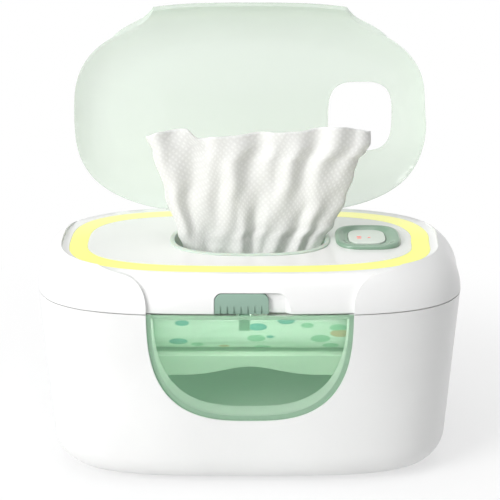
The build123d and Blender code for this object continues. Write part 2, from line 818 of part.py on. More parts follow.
with BuildPart() as lid_pin_bores:
    for left_x in (-lid_channel_half - 4.5, cheek_outer_x - cheek_thickness):
        with BuildSketch(Plane.YZ.offset(left_x)):
            with Locations((lid_hinge_y, lid_hinge_z)):
                Circle(lid_pin_radius + pin_clearance)
        extrude(amount=lid_pin_length)

# Knuckle of the main hinge, on a foot that blends into the back wall.
with BuildPart() as cover_knuckle:
    with BuildSketch(Plane.YZ.offset(-hinge_knuckle_half)):
        hinge_lug_outline(1)
        with Locations((hinge_y, hinge_z)):
            Circle(hinge_pin_radius + pin_clearance, mode=Mode.SUBTRACT)
    extrude(amount=2 * hinge_knuckle_half)
    add(inner_crown, mode=Mode.SUBTRACT)

with BuildPart() as top_cover:
    add(outer_crown)
    with BuildSketch(Plane.XY.offset(parting_z)):
        Rectangle(4 * body_half_x, 4 * body_half_y)
    extrude(amount=parting_gap / 2, mode=Mode.SUBTRACT)
    # Seat for the lid, opened out at the back.
    with BuildSketch(Plane.XY.offset(seat_z)):
        stretch = 1 + seat_rear_relief / seat_half_y
        seat_curve = [
            (x, y * stretch if y > 0 else y)
            for x, y in superellipse_points(seat_half_x, seat_half_y, seat_power)
        ]
        with BuildLine() as seat_edge:
            Spline(*seat_curve, periodic=True)
        make_face(seat_edge.edges())
    extrude(amount=crown_rise, mode=Mode.SUBTRACT)
    # Hollow, then the block that the lid hinge is sunk into.
    add(cover_cavity.part, mode=Mode.SUBTRACT)
    add(hinge_block.part)
    add(lid_channel.part, mode=Mode.SUBTRACT)
    add(lid_cheeks.part)
    add(lid_pin_bores.part, mode=Mode.SUBTRACT)
    # Pocket for the glowing ring, and the opening inside it.
    with BuildSketch(Plane.XY.offset(seat_z - ring_height)):
        superellipse(ring_half_x + slip, ring_half_y + slip, ring_power)
    extrude(amount=ring_height + slip, mode=Mode.SUBTRACT)
    with BuildSketch(Plane.XY.offset(ledge_bottom_z - slip)):
        superellipse(ring_half_x - ring_ledge, ring_half_y - ring_ledge, ring_power)
    extrude(amount=ledge_thickness + 2 * slip, mode=Mode.SUBTRACT)
    # Bosses for the liner screws.
    with BuildSketch(Plane.XY.offset(liner_z + liner_thickness)):
        with GridLocations(2 * liner_screw_x, 2 * liner_screw_y, 2, 2):
            Circle(boss_radius)
    extrude(amount=ledge_bottom_z + 1.5 - liner_z - liner_thickness)
    with BuildSketch(Plane.XY.offset(liner_z)):
        with GridLocations(2 * liner_screw_x, 2 * liner_screw_y, 2, 2):
            Circle(screw_shank + slip / 2)
    extrude(amount=ledge_bottom_z - liner_z, mode=Mode.SUBTRACT)
    # Recess for the lid's tongue, and the latch's track and slot in it.
    add(recess_cutter.part, mode=Mode.SUBTRACT)
    add(track_backing.part)
    add(track_pocket.part, mode=Mode.SUBTRACT)
    with BuildSketch(front_plane):
        with Locations((stem_left_x - 0.5, parting_z + 2.5)):
            Rectangle(
                stem_width + slider_travel + 1.0, 6.0, align=(Align.MIN, Align.MIN)
            )
    extrude(amount=front_reach, mode=Mode.SUBTRACT)
    add(cover_knuckle.part)
save(top_cover.part, "top_cover")


# ---- Flip lid -----------------------------------------------------------------------
lid_edge_gap = 0.35
arm_front_y = lid_channel_y + free
arm_back_y = lid_hinge_y + lid_knuckle_radius

with BuildPart() as flip_lid:
    with BuildSketch(Plane.XY.offset(seat_z + lid_gap)):
        superellipse(seat_half_x - lid_edge_gap, seat_half_y - lid_edge_gap, seat_power)
    extrude(amount=crown_rise)
    with BuildSketch(front_plane):
        tongue_outline(lid_edge_gap, tongue_tip_z)
    extrude(amount=front_reach)
    # Hinge arms with their knuckles.
    for middle_x in (-lid_arm_x, lid_arm_x):
        with BuildSketch(Plane.YZ.offset(middle_x - lid_arm_width / 2)):
            with BuildLine() as arm:
                Polyline(
                    (arm_front_y, lid_hinge_z),
                    (arm_front_y, seat_z + lid_gap),
                    (arm_front_y - 5.0, seat_z + lid_gap),
                    (arm_front_y - 5.0, seat_z + crown_rise),
                    (arm_back_y, seat_z + crown_rise),
                    (arm_back_y, lid_hinge_z),
                    close=True,
                )
            make_face(arm.edges())
            with Locations((lid_hinge_y, lid_hinge_z)):
                Circle(lid_knuckle_radius)
        extrude(amount=lid_arm_width)
    add(outer_crown, mode=Mode.INTERSECT)

# Hollow of the lid, left solid where the hinge arms are.
with BuildPart() as lid_hollow:
    add(lid_inner_crown)
    for middle_x in (-lid_arm_x, lid_arm_x):
        with Locations((middle_x, arm_front_y, seat_z)):
            Box(lid_arm_width, 10.0, 4 * crown_rise, mode=Mode.SUBTRACT)

with BuildPart() as open_lid:
    add(flip_lid.part)
    add(lid_hollow.part, mode=Mode.SUBTRACT)
    with BuildSketch(Plane.XY.offset(seat_z)):
        superellipse(
            button_hole_half_x,
            button_hole_half_y,
            bezel_power,
            middle=(button_hole_x, button_hole_y),
        )
    extrude(amount=crown_rise, mode=Mode.SUBTRACT)
    with BuildSketch(Plane.YZ.offset(-lid_channel_half)):
        with Locations((lid_hinge_y, lid_hinge_z)):
            Circle(lid_pin_radius + pin_clearance)
    extrude(amount=2 * lid_channel_half, mode=Mode.SUBTRACT)

lid_axis = Axis((0, lid_hinge_y, lid_hinge_z), (1, 0, 0))
with BuildPart() as finished_lid:
    add(open_lid.part.rotate(lid_axis, -lid_open_angle))
    # Flat on each arm that meets the channel floor when the lid is open.
    with BuildSketch(Plane.XY.offset(lid_channel_floor_z + free)):
        with Locations((0, lid_hinge_y)):
            Rectangle(4 * lid_channel_half, 40.0)
    extrude(amount=-20.0, mode=Mode.SUBTRACT)
save(finished_lid.part, "flip_lid")

with BuildPart() as lid_hinge_pins:
    for left_x in (-lid_channel_half - 4.5, cheek_outer_x - cheek_thickness):
        with BuildSketch(Plane.YZ.offset(left_x)):
            with Locations((lid_hinge_y, lid_hinge_z)):
                Circle(lid_pin_radius)
        extrude(amount=lid_pin_length)
save(lid_hinge_pins.part, "lid_hinge_pins")


# ---- Latch slider -------------------------------------------------------------------
slider_left_x = -slot_half_x + free
slider_bottom_z = parting_z + free
slider_top_z = parting_z + slot_height - free
plate_side = 6.0
hook_inset = recess_depth + track_depth + cover_wall + free

with BuildPart() as slider_cap:
    with BuildSketch(front_plane):
        with Locations((slider_left_x, slider_top_z)):
            RectangleRounded(
                slider_width, 3 * slot_height, slot_corner, align=(Align.MIN, Align.MAX)
            )
        with Locations((0, slider_bottom_z)):
            Rectangle(
                4 * slider_width,
                3 * slot_height,
                align=(Align.CENTER, Align.MAX),
                mode=Mode.SUBTRACT,
            )
    extrude(amount=front_reach)
    add(slider_face_crown, mode=Mode.INTERSECT)
    add(slider_back_crown, mode=Mode.SUBTRACT)
    # Finger grooves.
    with BuildSketch(Plane.XY.offset(slider_bottom_z)):
        with Locations((slider_left_x + slider_width / 2, -body_half_y + recess_depth + 0.1)):
            with GridLocations(groove_pitch, 0, groove_count, 1):
                Rectangle(groove_width, 2 * groove_depth)
    extrude(amount=slot_height - 2.0, mode=Mode.SUBTRACT)

with BuildPart() as latch_slider:
    add(slider_cap.part)
    # Stem through the cover, then the plate behind its wall.
    with BuildPart(mode=Mode.PRIVATE) as stem:
        with BuildSketch(front_plane):
            with Locations((stem_left_x, parting_z + 3.0)):
                Rectangle(stem_width, 5.0, align=(Align.MIN, Align.MIN))
        extrude(amount=front_reach)
        add(crown(recess_depth + 0.1 + slider_thickness / 2), mode=Mode.INTERSECT)
        add(crown(hook_inset + hook_plate / 2), mode=Mode.SUBTRACT)
    add(stem.part)
    with BuildPart(mode=Mode.PRIVATE) as plate:
        with BuildSketch(front_plane):
            with Locations((stem_left_x - plate_side, parting_z)):
                Rectangle(
                    stem_width + 2 * plate_side, slot_height + 1.0, align=(Align.MIN, Align.MIN)
                )
        extrude(amount=front_reach)
        add(crown(hook_inset), mode=Mode.INTERSECT)
        add(crown(hook_inset + hook_plate), mode=Mode.SUBTRACT)
    add(plate.part)
    # Hook that reaches down through the tub's flange.
    with BuildSketch(Plane.YZ.offset(stem_left_x)):
        with BuildLine() as hook:
            Polyline(
                (hook_back_y, parting_z),
                (hook_back_y, parting_z - hook_drop),
                (hook_front_y - hook_toe, parting_z - hook_drop),
                (hook_front_y - hook_toe, flange_bottom_z - 0.7),
                (hook_front_y, flange_bottom_z - 0.7),
                (hook_front_y, parting_z),
                close=True,
            )
        make_face(hook.edges())
    extrude(amount=stem_width)
save(latch_slider.part, "latch_slider")


# ---- Glowing ring and deck plate ----------------------------------------------------
deck_bottom_z = seat_z - deck_thickness

with BuildPart() as light_ring:
    with BuildSketch(Plane.XY.offset(seat_z - ring_height)):
        superellipse(ring_half_x, ring_half_y, ring_power)
        superellipse(
            ring_half_x - ring_width, ring_half_y - ring_width, ring_power, Mode.SUBTRACT
        )
    extrude(amount=ring_height)
    with BuildSketch(Plane.XY.offset(seat_z - ring_height)):
        superellipse(
            ring_half_x - ring_width + 1.0, ring_half_y - ring_width + 1.0, ring_power
        )
        superellipse(
            ring_half_x - ring_width - ring_lip,
            ring_half_y - ring_width - ring_lip,
            ring_power,
            Mode.SUBTRACT,
        )
    extrude(amount=ring_height - deck_thickness)
save(light_ring.part, "light_ring")

with BuildPart() as deck_plate:
    with BuildSketch(Plane.XY.offset(deck_bottom_z)):
        superellipse(
            ring_half_x - ring_width - slip, ring_half_y - ring_width - slip, ring_power
        )
        superellipse(
            collar_half_x - 0.85, collar_half_y - 0.8, collar_power, Mode.SUBTRACT
        )
        superellipse(
            bezel_half_x - 2.3,
            bezel_half_y - 2.3,
            bezel_power,
            Mode.SUBTRACT,
            middle=(bezel_x, bezel_y),
        )
    extrude(amount=deck_thickness)
save(deck_plate.part, "deck_plate")


# ---- Dispensing collar --------------------------------------------------------------
collar_wall = 1.8
collar_inner_x = collar_half_x - collar_rim
collar_inner_y = collar_half_y - collar_rim

with BuildPart() as dispensing_collar:
    with BuildSketch(Plane.XY.offset(seat_z)):
        superellipse(collar_half_x, collar_half_y, collar_power)
    extrude(amount=collar_rise)
    fillet(dispensing_collar.faces().sort_by(Axis.Z)[-1].edges(), radius=0.6)
    with BuildSketch(Plane.XY.offset(liner_z)):
        superellipse(
            collar_inner_x - collar_throat + collar_wall - 0.3,
            collar_inner_y - collar_throat + collar_wall - 0.3,
            collar_power,
        )
    with BuildSketch(Plane.XY.offset(seat_z)):
        superellipse(collar_half_x - 1.0, collar_half_y - 1.0, collar_power)
    loft(ruled=True)
    with BuildSketch(Plane.XY.offset(liner_z)):
        superellipse(
            collar_inner_x - collar_throat, collar_inner_y - collar_throat, collar_power
        )
    with BuildSketch(Plane.XY.offset(seat_z + collar_rise)):
        superellipse(collar_inner_x, collar_inner_y, collar_power)
    loft(ruled=True, mode=Mode.SUBTRACT)
save(dispensing_collar.part, "dispensing_collar")


# ---- Control bezel and its button ---------------------------------------------------
button_x = bezel_x - 0.5
bezel_lip_z = seat_z - 1.3           # underside of the lip that keeps the button in
bezel_foot_z = seat_z - ring_height
flange_out = 1.2

with BuildPart() as control_bezel:
    with BuildSketch(Plane.XY.offset(seat_z)):
        superellipse(bezel_half_x, bezel_half_y, bezel_power, middle=(bezel_x, bezel_y))
    extrude(amount=bezel_rise)
    fillet(control_bezel.faces().sort_by(Axis.Z)[-1].edges(), radius=1.6)
    with BuildSketch(Plane.XY.offset(bezel_foot_z)):
        superellipse(
            bezel_half_x - 2.3 - slip,
            bezel_half_y - 2.3 - slip,
            bezel_power,
            middle=(bezel_x, bezel_y),
        )
    extrude(amount=seat_z - bezel_foot_z)
    # Dished top that falls towards the button.
    with BuildSketch(Plane.XY.offset(seat_z + 0.4)):
        superellipse(
            bezel_half_x - 6.2,
            bezel_half_y - 6.2,
            bezel_power,
            middle=(bezel_x, bezel_y),
        )
    with BuildSketch(Plane.XY.offset(seat_z + bezel_rise)):
        superellipse(
            bezel_half_x - 2.8,
            bezel_half_y - 2.8,
            bezel_power,
            middle=(bezel_x, bezel_y),
        )
    loft(ruled=True, mode=Mode.SUBTRACT)
    # Hole for the button, wider below the lip.
    with BuildSketch(Plane.XY.offset(bezel_foot_z)):
        superellipse(
            button_half_x + free,
            button_half_y + free,
            bezel_power,
            middle=(button_x, button_y),
        )
    extrude(amount=crown_rise, mode=Mode.SUBTRACT)
    with BuildSketch(Plane.XY.offset(bezel_foot_z)):
        superellipse(
            button_half_x + flange_out + free,
            button_half_y + flange_out + free,
            bezel_power,
            middle=(button_x, button_y),
        )
    extrude(amount=bezel_lip_z - bezel_foot_z, mode=Mode.SUBTRACT)
save(control_bezel.part, "control_bezel")

board_top_z = board_z + board_thickness
switch_top_z = board_top_z + 2.8
button_top_z = seat_z + button_rise
button_flange_top_z = bezel_lip_z - slip

with BuildPart() as control_button:
    with BuildSketch(Plane.XY.offset(button_flange_top_z - 1.0)):
        superellipse(button_half_x, button_half_y, bezel_power, middle=(button_x, button_y))
    extrude(amount=button_top_z - button_flange_top_z + 1.0)
    fillet(control_button.faces().sort_by(Axis.Z)[-1].edges(), radius=0.5)
    with BuildSketch(Plane.XY.offset(button_flange_top_z - 1.0)):
        superellipse(
            button_half_x + flange_out,
            button_half_y + flange_out,
            bezel_power,
            middle=(button_x, button_y),
        )
    extrude(amount=1.0)
    with BuildSketch(Plane.XY.offset(switch_top_z + button_travel + slip)):
        with Locations((button_x, button_y)):
            Circle(2.0)
    extrude(amount=button_flange_top_z - switch_top_z - button_travel - slip)
save(control_button.part, "control_button")


# ---- Boards under the deck ----------------------------------------------------------
with BuildPart() as display_board:
    with Locations((button_x, button_y - 1.0, board_z)):
        Box(33.0, 36.0, board_thickness, align=(Align.CENTER, Align.CENTER, Align.MIN))
    with Locations((button_x, button_y, board_top_z)):
        Box(6.0, 6.0, 2.0, align=(Align.CENTER, Align.CENTER, Align.MIN))
    with Locations((button_x, button_y, board_top_z + 2.0)):
        Cylinder(1.2, 0.8, align=(Align.CENTER, Align.CENTER, Align.MIN))
    with Locations((button_x - 7.0, button_y - 13.0, board_top_z)):
        Box(8.0, 4.0, 1.6, align=(Align.CENTER, Align.CENTER, Align.MIN))
save(display_board.part, "display_board")

with BuildPart() as led_board:
    with BuildSketch(Plane.XY.offset(board_z)):
        superellipse(
            led_board_half_x + led_board_width / 2,
            led_board_half_y + led_board_width / 2,
            ring_power,
        )
        superellipse(
            led_board_half_x - led_board_width / 2,
            led_board_half_y - led_board_width / 2,
            ring_power,
            Mode.SUBTRACT,
        )
    extrude(amount=board_thickness)
    with BuildSketch(Plane.XY.offset(board_top_z)):
        with Locations(
            *superellipse_points(led_board_half_x, led_board_half_y, ring_power)[::2]
        ):
            Rectangle(led_size, led_size)
    extrude(amount=led_height)
save(led_board.part, "led_board")


# ---- Liner, seal and liner screws ---------------------------------------------------
liner_top_z = liner_z + liner_thickness
liner_half_x = body_half_x - 2 * cover_wall - 0.9
liner_half_y = body_half_y - 2 * cover_wall - 0.9
led_post_y = 41.6

with BuildPart() as top_liner:
    with BuildSketch(Plane.XY.offset(liner_z)):
        superellipse(liner_half_x, liner_half_y, body_power)
        superellipse(
            collar_inner_x - collar_throat + collar_wall + 0.7,
            collar_inner_y - collar_throat + collar_wall + 0.7,
            collar_power,
            Mode.SUBTRACT,
        )
        with GridLocations(2 * liner_screw_x, 2 * liner_screw_y, 2, 2):
            Circle(screw_shank + slip, mode=Mode.SUBTRACT)
        # Notches round the thick wall behind the latch, and for the latch plate.
        with Locations((0, -liner_half_y)):
            Rectangle(
                2 * slot_backing_half + 1.0,
                2 * (liner_half_y + hook_front_y + 1.0),
                mode=Mode.SUBTRACT,
            )
        with Locations((stem_left_x - plate_side - 0.6, hook_back_y + 1.2)):
            Rectangle(
                stem_width + 2 * plate_side + slider_travel + 1.2,
                10.0,
                align=(Align.MIN, Align.MAX),
                mode=Mode.SUBTRACT,
            )
    extrude(amount=liner_thickness)
    # Posts that carry the two boards.
    with BuildSketch(Plane.XY.offset(liner_top_z)):
        with GridLocations(120.0, 2 * led_post_y, 2, 2):
            Circle(2.2)
        with GridLocations(2 * led_board_half_x, 0, 2, 1):
            Circle(2.2)
        with Locations((button_x, button_y - 1.0)):
            with GridLocations(26.0, 29.0, 2, 2):
                Circle(2.0)
    extrude(amount=board_z - liner_top_z)
save(top_liner.part, "top_liner")

with BuildPart() as seal_gasket:
    with BuildSketch(Plane.XY.offset(flange_top_z + free)):
        superellipse(seal_half_x, seal_half_y, body_power)
        superellipse(
            seal_half_x - seal_width, seal_half_y - seal_width, body_power, Mode.SUBTRACT
        )
    extrude(amount=liner_z - flange_top_z - free)
save(seal_gasket.part, "seal_gasket")

with BuildPart() as liner_screws:
    with BuildSketch(Plane.XY.offset(liner_z - screw_head_height)):
        with GridLocations(2 * liner_screw_x, 2 * liner_screw_y, 2, 2):
            Circle(screw_head)
    extrude(amount=screw_head_height)
    with BuildSketch(Plane.XY.offset(liner_z)):
        with GridLocations(2 * liner_screw_x, 2 * liner_screw_y, 2, 2):
            Circle(screw_shank)
    extrude(amount=9.5)
save(liner_screws.part, "liner_screws")


# ---- Wipe standing in the collar ----------------------------------------------------
wipe_sections = [
    (-23.2, 30.0, 14.0),
    (-10.0, 36.0, 16.0),
    (5.0, 41.0, 17.0),
    (40.0, 58.0, 12.0),
    (66.0, 63.0, 6.0),
]

with BuildPart() as wipe_sheet:
    for rise, half_x, half_y in wipe_sections:
        with BuildSketch(Plane.XY.offset(seat_z + rise)):
            superellipse(half_x, half_y, 2.4)
    loft()
save(wipe_sheet.part, "wipe_sheet")
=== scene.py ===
"""Looks of a baby wipe warmer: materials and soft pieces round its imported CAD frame."""

from math import cos, pi, radians, sin

import bpy
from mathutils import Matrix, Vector


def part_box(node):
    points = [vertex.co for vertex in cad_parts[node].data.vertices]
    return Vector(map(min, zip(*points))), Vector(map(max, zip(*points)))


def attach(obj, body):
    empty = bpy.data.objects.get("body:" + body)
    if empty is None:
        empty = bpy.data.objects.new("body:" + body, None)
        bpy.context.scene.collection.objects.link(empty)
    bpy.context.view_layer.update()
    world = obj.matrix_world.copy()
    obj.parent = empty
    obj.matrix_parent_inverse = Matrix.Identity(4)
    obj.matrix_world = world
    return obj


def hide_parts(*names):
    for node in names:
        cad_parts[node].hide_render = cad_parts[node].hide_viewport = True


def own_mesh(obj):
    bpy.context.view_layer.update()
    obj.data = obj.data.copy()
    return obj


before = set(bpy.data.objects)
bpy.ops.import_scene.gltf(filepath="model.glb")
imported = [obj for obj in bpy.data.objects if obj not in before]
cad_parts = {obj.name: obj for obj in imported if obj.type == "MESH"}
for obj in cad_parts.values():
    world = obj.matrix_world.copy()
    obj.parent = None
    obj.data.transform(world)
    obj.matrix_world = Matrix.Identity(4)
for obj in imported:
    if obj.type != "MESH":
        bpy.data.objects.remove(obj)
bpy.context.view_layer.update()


# ---- Lower body ---------------------------------------------------------------------
# The big outer shell of the warmer, injection moulded in white ABS with a satin polish.
# It shows soft broad highlights, a very fine mould texture and slightly rounded edges.
cloud_mm = 71.43  # width of the faint clouds in a moulded surface
edge_radius = 0.0005  # how far an edge is rounded off to the eye
smooth_angle = 35  # faces that meet at less than this many degrees are shaded as one
weld_distance = 0.00001


def linear(colour):
    """A hex colour as it is written on screen, turned to linear light."""
    parts = [int(colour[place:place + 2], 16) / 255 for place in (1, 3, 5)]
    bent = [p / 12.92 if p <= 0.04045 else ((p + 0.055) / 1.055) ** 2.4 for p in parts]
    return (*bent, 1.0)


def add_node(tree, kind, values=None, links=None, **settings):
    """Adds one node: its settings, the values of its sockets and what feeds them."""
    node = tree.nodes.new(kind)
    for name, setting in settings.items():
        setattr(node, name, setting)
    for socket, value in (values or {}).items():
        node.inputs[socket].default_value = value
    for socket, (source, output) in (links or {}).items():
        tree.links.new(source.outputs[output], node.inputs[socket])
    return node


def paint_ramp(ramp, *stops):
    """Gives a ramp its hex colours, each at its place between 0 and 1."""
    elements = ramp.color_ramp.elements
    while len(elements) < len(stops):
        elements.new(1.0)
    for element, (position, colour) in zip(elements, stops):
        element.position = position
        element.color = linear(colour)


def blank_material(name):
    """A new material with nothing in its node tree yet."""
    material = bpy.data.materials.new(name)
    material.use_nodes = True
    material.node_tree.nodes.clear()
    return material


def moulded(name, colour, shade, roughness, grain_mm, depth_mm, **sockets):
    """A moulded or coated surface: two close tones, grain of a real size, soft edges."""
    material = blank_material(name)
    tree = material.node_tree
    place = add_node(tree, "ShaderNodeTexCoord")
    cloud = add_node(
        tree,
        "ShaderNodeTexNoise",
        {"Scale": 1000.0 / cloud_mm, "Detail": 2.0},
        {"Vector": (place, "Object")},
    )
    tone = add_node(tree, "ShaderNodeValToRGB", links={"Fac": (cloud, "Fac")})
    paint_ramp(tone, (0.3, shade), (0.6, colour))
    grain = add_node(
        tree,
        "ShaderNodeTexNoise",
        {"Scale": 1000.0 / grain_mm, "Detail": 3.0},
        {"Vector": (place, "Object")},
    )
    gloss = add_node(
        tree,
        "ShaderNodeMapRange",
        {"To Min": roughness * 0.85, "To Max": roughness * 1.2},
        {"Value": (cloud, "Fac")},
    )
    edge = add_node(tree, "ShaderNodeBevel", {"Radius": edge_radius}, samples=4)
    relief = add_node(
        tree,
        "ShaderNodeBump",
        {"Strength": 0.35, "Distance": depth_mm / 1000.0},
        {"Height": (grain, "Fac"), "Normal": (edge, "Normal")},
    )
    surface = add_node(
        tree,
        "ShaderNodeBsdfPrincipled",
        {socket.replace("_", " "): value for socket, value in sockets.items()},
        {
            "Base Color": (tone, "Color"),
            "Roughness": (gloss, "Result"),
            "Normal": (relief, "Normal"),
        },
    )
    add_node(tree, "ShaderNodeOutputMaterial", links={"Surface": (surface, "BSDF")})
    return material


def dress(node, material):
    """Gives a CAD node its material, and smooth shading between its real edges."""
    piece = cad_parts[node]
    piece.data.materials.clear()
    piece.data.materials.append(material)
    piece.data.polygons.foreach_set("use_smooth", [True] * len(piece.data.polygons))
    weld = piece.modifiers.new("weld", "WELD")
    weld.merge_threshold = weld_distance
    edges = piece.modifiers.new("edges", "EDGE_SPLIT")
    edges.split_angle = radians(smooth_angle)


# Satin ABS: a clear but blurred highlight over a plain white that never looks wet.
white_abs = moulded(
    "White satin ABS", "#F1F1F0", "#ECECEB", 0.3, 0.6, 0.02, Coat_Weight=0.25, Coat_Roughness=0.2
)
dress("lower_body", white_abs)


# ---- Window panel -------------------------------------------------------------------
# Tinted clear polycarbonate let into the front wall, polished on both faces.  It tints
# what lies behind it green and turns denser where it is seen edge on.
haze_mm = 33.33  # width of the slow ripples in a clear moulding


def clear_plastic(name, colour, edge_colour, roughness, face_alpha, edge_alpha):
    """Tinted clear plastic: thin when seen square on, denser towards its edges."""
    material = blank_material(name)
    tree = material.node_tree
    place = add_node(tree, "ShaderNodeTexCoord")
    haze = add_node(
        tree,
        "ShaderNodeTexNoise",
        {"Scale": 1000.0 / haze_mm, "Detail": 2.0},
        {"Vector": (place, "Object")},
    )
    slant = add_node(tree, "ShaderNodeLayerWeight", {"Blend": 0.25})
    tint = add_node(
        tree,
        "ShaderNodeMix",
        {6: linear(colour), 7: linear(edge_colour)},
        {0: (slant, "Facing")},
        data_type="RGBA",
    )
    density = add_node(
        tree,
        "ShaderNodeMapRange",
        {"To Min": face_alpha, "To Max": edge_alpha},
        {"Value": (slant, "Facing")},
    )
    waver = add_node(
        tree,
        "ShaderNodeBump",
        {"Strength": 0.1, "Distance": 0.0002},
        {"Height": (haze, "Fac")},
    )
    surface = add_node(
        tree,
        "ShaderNodeBsdfPrincipled",
        {"Roughness": roughness, "IOR": 1.58, "Specular IOR Level": 0.6},
        {
            "Base Color": (tint, 2),
            "Alpha": (density, "Result"),
            "Normal": (waver, "Normal"),
        },
    )
    add_node(tree, "ShaderNodeOutputMaterial", links={"Surface": (surface, "BSDF")})
    return material


# Polished polycarbonate: sharp reflections over a green that grows denser at a slant, where it is also
# painted a paler green, a painted sheen along its edges.
window_plastic = clear_plastic(
    "Green tinted polycarbonate", "#8BC79B", "#B4DEBB", 0.08, 0.26, 0.9
)
dress("window_panel", window_plastic)


# ---- Inner tub ----------------------------------------------------------------------
# The moulded tub that holds the wipes, seen through the window and, with the cover up,
# from above.
# Polypropylene: a waxy half gloss, white with a faint green cast.
tub_plastic = moulded(
    "White polypropylene", "#EEF3EC", "#E6EDE4", 0.35, 0.8, 0.02, Specular_IOR_Level=0.45
)
dress("inner_tub", tub_plastic)


# ---- Lifter tray and its springs ----------------------------------------------------
# The tray is a matt moulded plate with a skirt.  Two bowed strips of tempered spring
# steel push it up under the pack, and flatten as it sinks.
# Matt tray plastic: no highlight to speak of, pale green all through.
tray_plastic = moulded("Pale green tray plastic", "#DCEBD9", "#D2E4D0", 0.45, 0.8, 0.03)
dress("lifter_tray", tray_plastic)
# Tempered steel: a dull grey metal with a tight highlight along the bow.
spring_steel = moulded(
    "Tempered spring steel", "#9A9DA3", "#858990", 0.32, 0.4, 0.01, Metallic=1.0
)
for spring in ("lifter_spring_front", "lifter_spring_rear"):
    dress(spring, spring_steel)
    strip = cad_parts[spring].copy()
    strip.data = strip.data.copy()
    strip.name = "flexing_" + spring
    bpy.context.scene.collection.objects.link(strip)
    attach(strip, "base")
    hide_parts(spring)
    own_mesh(strip)


# ---- Pack of wipes ------------------------------------------------------------------
# A soft pillow pack of wet wipes in printed film: plump, lightly creased, drawn in to a
# thinner end at each short side, with a plain pattern of leaves and spots on pale green.
pack_length_share = 0.985  # of the space the pack has, so that its ends stay clear
film_corner = 0.010
crease_width = 0.02
crease_depth = 0.0022
end_start = 0.86  # share of the half length at which the film begins to draw in
end_pinch = 0.75  # share of its height that the film loses there
end_curve = 1.6  # how suddenly it does
end_lift = 0.35  # how far up the half height the drawn in end lies
leaf_mm = (16.67, 22.22, 6.667)

low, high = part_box("wipe_pack")
middle = (low + high) / 2
half = (high - low) / 2
bpy.ops.object.select_all(action="DESELECT")
bpy.ops.mesh.primitive_cube_add(size=2, location=middle)
pack = bpy.context.object
pack.name = "film_pack"
pack.scale = (half.x * pack_length_share, half.y, half.z)
bpy.ops.object.transform_apply(location=True, rotation=True, scale=True)
bpy.ops.object.mode_set(mode="EDIT")
bpy.ops.mesh.select_all(action="SELECT")
bpy.ops.mesh.bevel(offset=film_corner, segments=5, affect="EDGES")
bpy.ops.mesh.select_all(action="SELECT")
bpy.ops.mesh.subdivide(number_cuts=5)
bpy.ops.object.mode_set(mode="OBJECT")
creases = bpy.data.textures.new("film creases", "CLOUDS")
creases.noise_scale = crease_width
creases.noise_depth = 3
film_relief = pack.modifiers.new("creases", "DISPLACE")
film_relief.texture = creases
film_relief.texture_coords = "OBJECT"
film_relief.strength = crease_depth
film_relief.mid_level = 1.0
bpy.ops.object.modifier_apply(modifier="creases")
bpy.ops.object.shade_smooth()
for vertex in pack.data.vertices:
    share = abs(vertex.co.x - middle.x) / half.x
    pinch = 1 - end_pinch * max(0.0, (share - end_start) / (1 - end_start)) ** end_curve
    vertex.co.z = low.z + (vertex.co.z - low.z) * pinch + (1 - pinch) * half.z * end_lift

# Printed film: a thin clear coat over the ink, so the print shines in small creased glints.
pack_film = moulded(
    "Printed pack film", "#DDEBDD", "#CBE0CE", 0.28, 3.0, 0.3, Coat_Weight=0.3
)
tree = pack_film.node_tree
surface = tree.nodes["Principled BSDF"]
ground = surface.inputs["Base Color"].links[0].from_node
place = tree.nodes["Texture Coordinate"]
stretched = add_node(
    tree,
    "ShaderNodeMapping",
    {"Scale": [1000.0 / size for size in leaf_mm], "Rotation": (0.0, 0.45, 0.0)},
    {"Vector": (place, "Object")},
)
leaves = add_node(
    tree,
    "ShaderNodeTexVoronoi",
    {"Scale": 1.0, "Randomness": 0.8},
    {"Vector": (stretched, "Vector")},
)
leaf_edge = add_node(
    tree,
    "ShaderNodeMapRange",
    {"From Min": 0.31, "From Max": 0.34, "To Min": 1.0, "To Max": 0.0},
    {"Value": (leaves, "Distance")},
)
pick = add_node(tree, "ShaderNodeSeparateColor", links={"Color": (leaves, "Color")})
leaf_tone = add_node(tree, "ShaderNodeValToRGB", links={"Fac": (pick, "Red")})
leaf_tone.color_ramp.interpolation = "CONSTANT"
paint_ramp(leaf_tone, (0.0, "#4FA39C"), (0.4, "#C9A67C"), (0.62, "#8CC3A0"))
print_mix = add_node(
    tree,
    "ShaderNodeMix",
    links={"Factor": (leaf_edge, "Result")},
    data_type="RGBA",
)
tree.links.new(ground.outputs["Color"], print_mix.inputs[6])
tree.links.new(leaf_tone.outputs["Color"], print_mix.inputs[7])
tree.links.new(print_mix.outputs[2], surface.inputs["Base Color"])
pack.data.materials.append(pack_film)
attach(pack, "tray")
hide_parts("wipe_pack")


# ---- Heater and its sensors ---------------------------------------------------------
# A rolled aluminium spreader plate under the tub with an amber polyimide heater film
# glued below it, and two small sealed sensors.
# Rolled aluminium: a pale metal with a soft, slightly blurred sheen.
plate_metal = moulded(
    "Rolled aluminium", "#C9CBCE", "#BDBFC3", 0.38, 0.5, 0.02, Metallic=1.0
)
dress("heating_plate", plate_metal)
# Polyimide film: clear amber brown with a smooth gloss.
heater_amber = moulded("Amber heater film", "#B96A1E", "#A95E18", 0.3, 2.0, 0.02)
dress("heater_film", heater_amber)
# Tinned steel: greyer than the plate, with a sharper glint.
can_metal = moulded("Tinned steel can", "#B5B7BA", "#A6A8AC", 0.35, 0.5, 0.01, Metallic=1.0)
dress("thermal_cutoff", can_metal)
# Glass filled nylon: near black, with a dry grey sheen.
black_nylon = moulded("Black glass filled nylon", "#1B1C1E", "#151617", 0.5, 0.5, 0.03)
dress("temperature_sensor", black_nylon)


